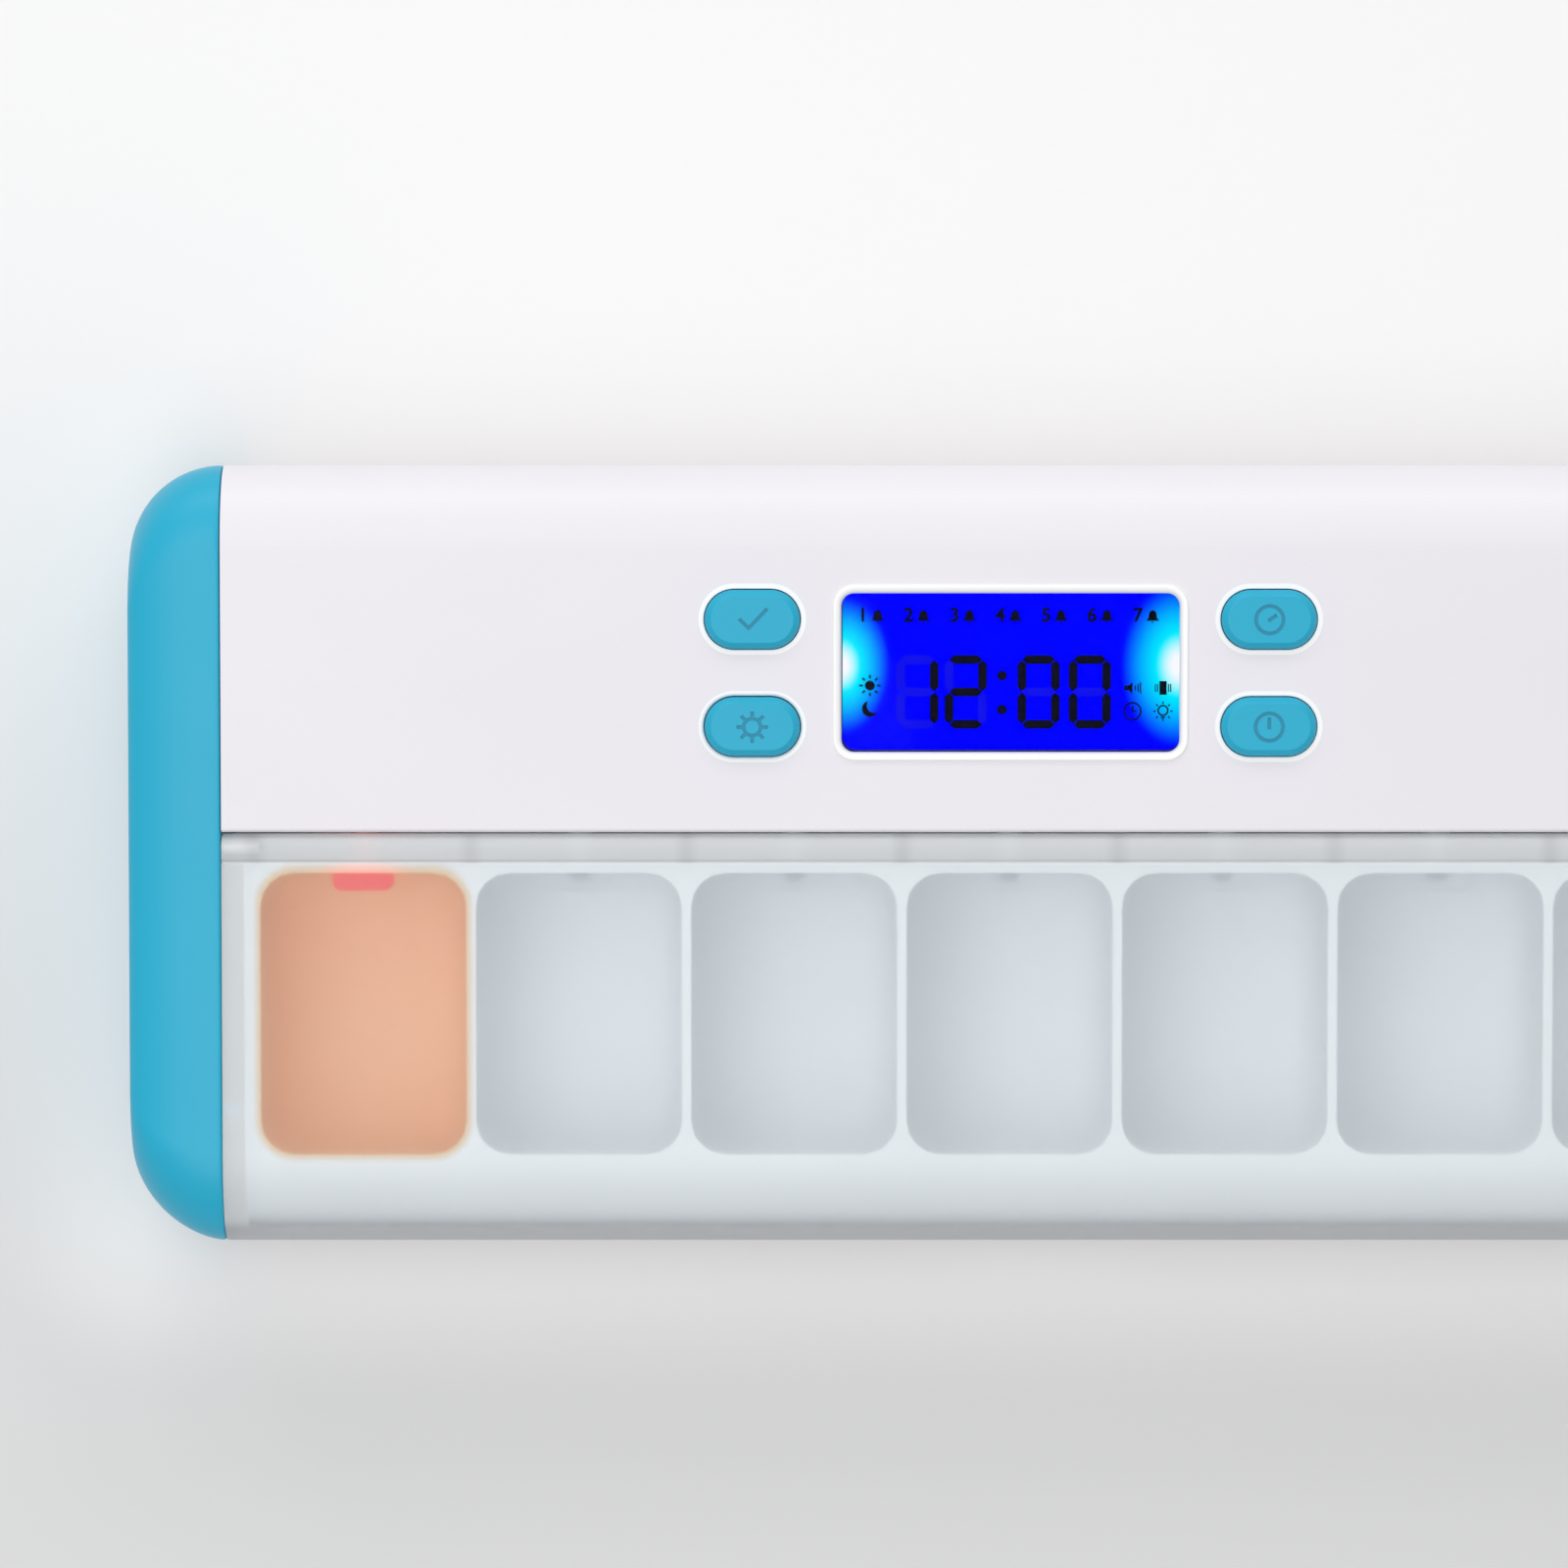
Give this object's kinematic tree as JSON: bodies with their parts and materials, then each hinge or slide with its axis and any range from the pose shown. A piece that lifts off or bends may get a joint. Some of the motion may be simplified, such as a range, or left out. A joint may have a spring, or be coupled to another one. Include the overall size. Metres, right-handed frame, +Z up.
{
  "type": "electronic pill box",
  "caption": "Wedge-shaped desktop pill organiser with blue rounded ends, a backlit clock display between pairs of keys, and one frosted hinged lid over a row of daily compartments with lamps.",
  "frame": {"origin": "on the table under the middle of the case, at the undersides of the feet", "axes": "+X along the case to its right end, +Y to the back where the clock is, +Z up"},
  "size_m": [0.2194, 0.097, 0.0329],
  "materials": {
    "white_shell": "fine satin",
    "blue_plastic": "satin",
    "frosted_lid": "frosted, translucent",
    "tray_plastic": "satin",
    "clear_acrylic": "clear",
    "lcd": "backlit blue liquid crystal",
    "white_lamp": "lit white lamp",
    "board_green": "solder mask",
    "black_plastic": "moulded",
    "grey_rubber": "soft",
    "steel": "plated",
    "battery_can": "printed jacket",
    "lit_red_lamp": "lit red lamp",
    "red_lamp": "clear red, unlit"
  },
  "bodies": {
    "housing": {"base_shell": "white_shell", "top_cover": "white_shell", "left_end_cap": "blue_plastic", "right_end_cap": "blue_plastic", "hinge_pin_left": "steel", "hinge_pin_right": "steel", "pill_tray": "tray_plastic", "display_window": "clear_acrylic", "lcd_glass": "lcd", "lcd_frame": "white_shell", "light_guide": "clear_acrylic", "backlight_lamp_left": "white_lamp", "backlight_lamp_right": "white_lamp", "lcd_contact_strip": "grey_rubber", "circuit_board": "board_green", "confirm_switch": "black_plastic", "set_switch": "black_plastic", "hour_switch": "black_plastic", "minute_switch": "black_plastic", "board_screw_1": "steel", "board_screw_2": "steel", "cover_screw_1": "steel", "cover_screw_2": "steel", "cover_screw_3": "steel", "cover_screw_4": "steel", "tray_screw_1": "steel", "tray_screw_2": "steel", "tray_screw_3": "steel", "foot_front_left": "grey_rubber", "foot_back_left": "grey_rubber", "foot_front_right": "grey_rubber", "foot_back_right": "grey_rubber", "battery_1": "battery_can", "battery_2": "battery_can", "battery_3": "battery_can", "battery_contact_negative": "steel", "battery_contact_left_bridge": "steel", "battery_contact_right_bridge": "steel", "battery_contact_positive": "steel", "lamp_board": "board_green", "pill_lamp_1": "lit_red_lamp", "pill_lamp_2": "red_lamp", "pill_lamp_3": "red_lamp", "pill_lamp_4": "red_lamp", "pill_lamp_5": "red_lamp", "pill_lamp_6": "red_lamp", "pill_lamp_7": "red_lamp", "buzzer": "black_plastic", "vibration_motor": "steel"},
    "lid": {"lid": "frosted_lid"},
    "battery_door": {"battery_door": "white_shell"},
    "vibration_weight": {"motor_weight": "steel"},
    "confirm_key": {"confirm_key": "blue_plastic", "confirm_plunger": "grey_rubber"},
    "set_key": {"set_key": "blue_plastic", "set_plunger": "grey_rubber"},
    "hour_key": {"hour_key": "blue_plastic", "hour_plunger": "grey_rubber"},
    "minute_key": {"minute_key": "blue_plastic", "minute_plunger": "grey_rubber"}
  },
  "joints": [
    {"name": "lid_hinge", "type": "hinge", "parent": "housing", "child": "lid", "pos_m": [0, 0.00092, 0.02786], "axis": [-1, 0, 0], "range_deg": [0, 100]},
    {"name": "battery_door_hinge", "type": "hinge", "parent": "housing", "child": "battery_door", "pos_m": [-0.0273, 0.0228, 0.001], "axis": [0, 1, 0], "range_deg": [0, 70]},
    {"name": "vibration_spin", "type": "hinge", "parent": "housing", "child": "vibration_weight", "pos_m": [-0.0595, 0.025, 0.0082], "axis": [1, 0, 0], "continuous": true},
    {"name": "confirm_press", "type": "slide", "parent": "housing", "child": "confirm_key", "axis": [0, 0.0698, -0.9976], "range_m": [0, 0.0006], "stiffness_N_per_m": 800},
    {"name": "set_press", "type": "slide", "parent": "housing", "child": "set_key", "axis": [0, 0.0698, -0.9976], "range_m": [0, 0.0006], "stiffness_N_per_m": 800},
    {"name": "hour_press", "type": "slide", "parent": "housing", "child": "hour_key", "axis": [0, 0.0698, -0.9976], "range_m": [0, 0.0006], "stiffness_N_per_m": 800},
    {"name": "minute_press", "type": "slide", "parent": "housing", "child": "minute_key", "axis": [0, 0.0698, -0.9976], "range_m": [0, 0.0006], "stiffness_N_per_m": 800}
  ]
}
